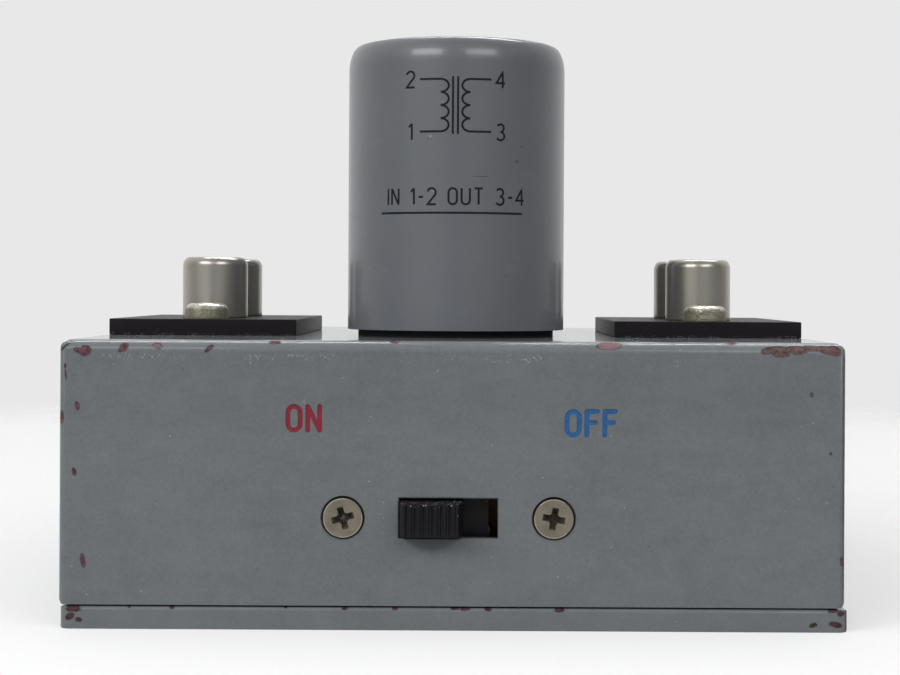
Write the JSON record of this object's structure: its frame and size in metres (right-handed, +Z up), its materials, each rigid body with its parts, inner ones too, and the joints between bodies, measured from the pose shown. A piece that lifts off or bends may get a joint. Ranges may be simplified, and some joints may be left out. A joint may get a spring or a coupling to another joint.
{
  "type": "moving coil step-up transformer",
  "caption": "Grey painted metal case with round shielded transformer cans and phono jacks on top and a slide switch in front; raises a moving coil cartridge's signal or passes it by.",
  "frame": {"origin": "centre of the case on the underside of the base plate", "axes": "+Z up, -Y towards the front face with the switch, +X to the right as the front is seen"},
  "size_m": [0.0883, 0.0851, 0.0681],
  "materials": {
    "case_paint": "satin grey paint over red-brown primer, chipped at the edges",
    "can_paint": "satin grey paint",
    "black_fibre": "matte black fibre",
    "brown_laminate": "paper laminate",
    "black_laminate": "black laminate, dulled",
    "brass": "turned brass",
    "nickel_plate": "dulled nickel plate",
    "screw_steel": "tarnished plated steel",
    "core_metal": "laminated nickel iron",
    "bobbin_plastic": "moulded",
    "copper_winding": "enamelled copper wire",
    "wax": "potting wax",
    "switch_steel": "zinc plated",
    "knob_plastic": "moulded black plastic",
    "tinned_brass": "tinned",
    "yellow_sleeve": "soft insulation",
    "black_sleeve": "soft insulation",
    "green_sleeve": "soft insulation",
    "red_sleeve": "soft insulation",
    "white_sleeve": "soft insulation",
    "blue_sleeve": "soft insulation"
  },
  "bodies": {
    "chassis": {"case_shell": "case_paint", "base_plate": "case_paint", "base_screws": "screw_steel", "transformer_can_front": "can_paint", "transformer_can_rear": "can_paint", "can_washer_front": "black_fibre", "can_washer_rear": "black_fibre", "can_disc_front": "brown_laminate", "can_disc_rear": "brown_laminate", "mounting_bush_front": "brass", "mounting_bush_rear": "brass", "bush_washers": "switch_steel", "bush_nuts": "brass", "potting_front": "wax", "potting_rear": "wax", "core_front": "core_metal", "core_rear": "core_metal", "bobbin_front": "bobbin_plastic", "bobbin_rear": "bobbin_plastic", "secondary_front": "copper_winding", "secondary_rear": "copper_winding", "primary_front": "copper_winding", "primary_rear": "copper_winding", "jack_plate_left": "black_laminate", "jack_plate_right": "black_laminate", "plate_screws": "screw_steel", "plate_nuts": "screw_steel", "jack_shell_left_front": "nickel_plate", "jack_shell_left_rear": "nickel_plate", "jack_shell_right_front": "nickel_plate", "jack_shell_right_rear": "nickel_plate", "jack_insulator_left_front": "brown_laminate", "jack_insulator_left_rear": "brown_laminate", "jack_insulator_right_front": "brown_laminate", "jack_insulator_right_rear": "brown_laminate", "jack_contact_left_front": "brass", "jack_contact_left_rear": "brass", "jack_contact_right_front": "brass", "jack_contact_right_rear": "brass", "ground_tags": "tinned_brass", "switch_frame": "switch_steel", "terminal_board": "brown_laminate", "switch_terminals": "tinned_brass", "switch_screws": "screw_steel", "yellow_leads": "yellow_sleeve", "black_leads": "black_sleeve", "green_leads": "green_sleeve", "red_leads": "red_sleeve", "direct_wires": "white_sleeve", "output_wires": "blue_sleeve"},
    "slider": {"switch_slider": "knob_plastic", "contact_bridges": "brass"}
  },
  "joints": [
    {"name": "switch_slide", "type": "slide", "parent": "chassis", "child": "slider", "axis": [1, 0, 0], "range_m": [0, 0.00385]}
  ]
}
